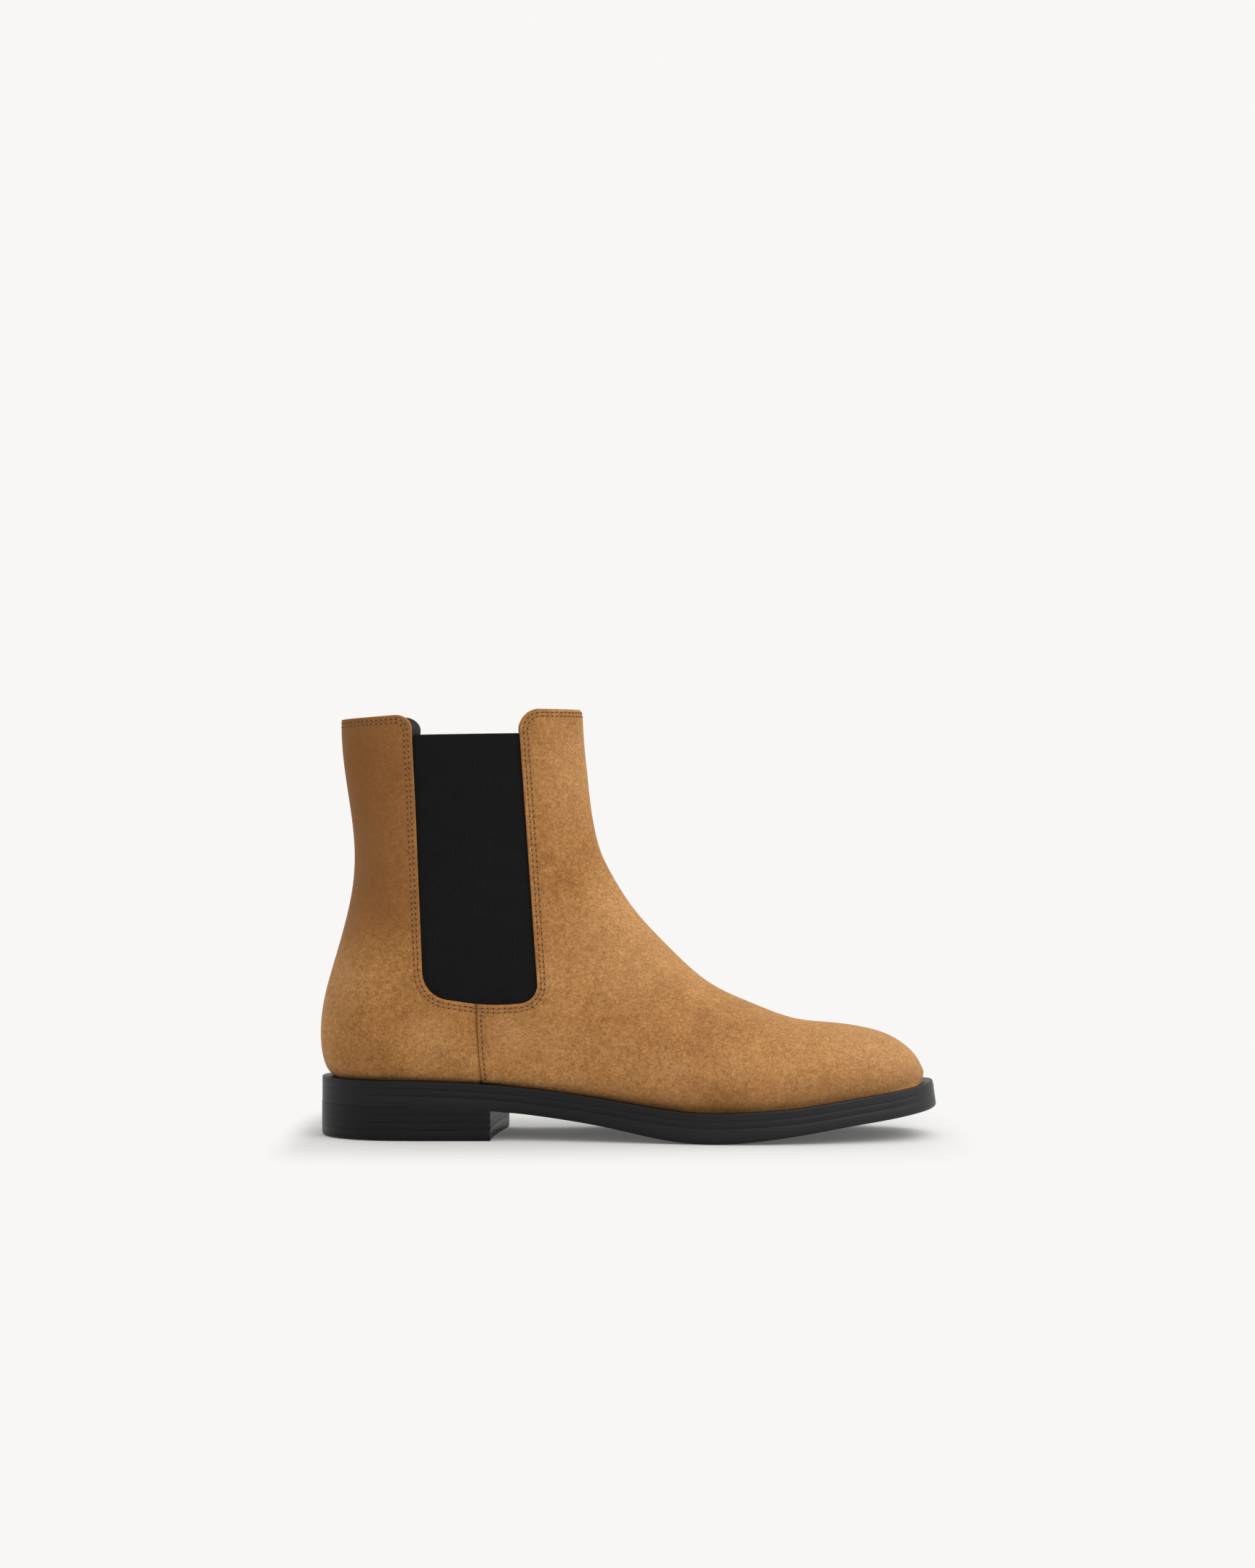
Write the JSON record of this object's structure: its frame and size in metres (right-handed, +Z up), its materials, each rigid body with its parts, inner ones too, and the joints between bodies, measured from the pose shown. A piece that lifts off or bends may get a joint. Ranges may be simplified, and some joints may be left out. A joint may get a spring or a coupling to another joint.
{
  "type": "chelsea boot",
  "caption": "Ankle-high slip-on boot with elastic side gores, a suede vamp and back panel, and a welted sole on a low stacked heel.",
  "frame": {"origin": "middle of the heel's ground face", "axes": "+X forwards to the toe, +Z up, the outer side of this right boot towards -Y"},
  "size_m": [0.302, 0.1006, 0.2084],
  "materials": {
    "suede": "tan brushed suede",
    "elastic": "black ribbed woven elastic",
    "lining": "smooth black lining leather",
    "backing": "natural cotton backing",
    "stiffener": "pressed leatherboard",
    "insole": "vegetable-tanned insole leather",
    "cork": "granulated cork",
    "steel": "tempered spring steel",
    "sole_leather": "black waxed and burnished edge",
    "heel_rubber": "satin black rubber",
    "brass": "brass nail",
    "thread": "waxed tan thread"
  },
  "bodies": {
    "root": {"vamp": "suede", "back_quarter": "suede", "gore_lateral": "elastic", "gore_medial": "elastic", "vamp_interlining": "backing", "quarter_interlining": "backing", "toe_puff": "stiffener", "heel_counter": "stiffener", "vamp_lining": "lining", "quarter_lining": "lining", "sock_lining": "lining", "insole_board": "insole", "cork_filler": "cork", "shank": "steel", "shank_rivets": "steel", "heel_seat_nails": "steel", "welt": "sole_leather", "midsole": "sole_leather", "outsole": "sole_leather", "heel_lift_1": "sole_leather", "heel_lift_2": "sole_leather", "heel_lift_3": "sole_leather", "top_piece": "heel_rubber", "top_piece_nails": "brass"}
  },
  "joints": []
}
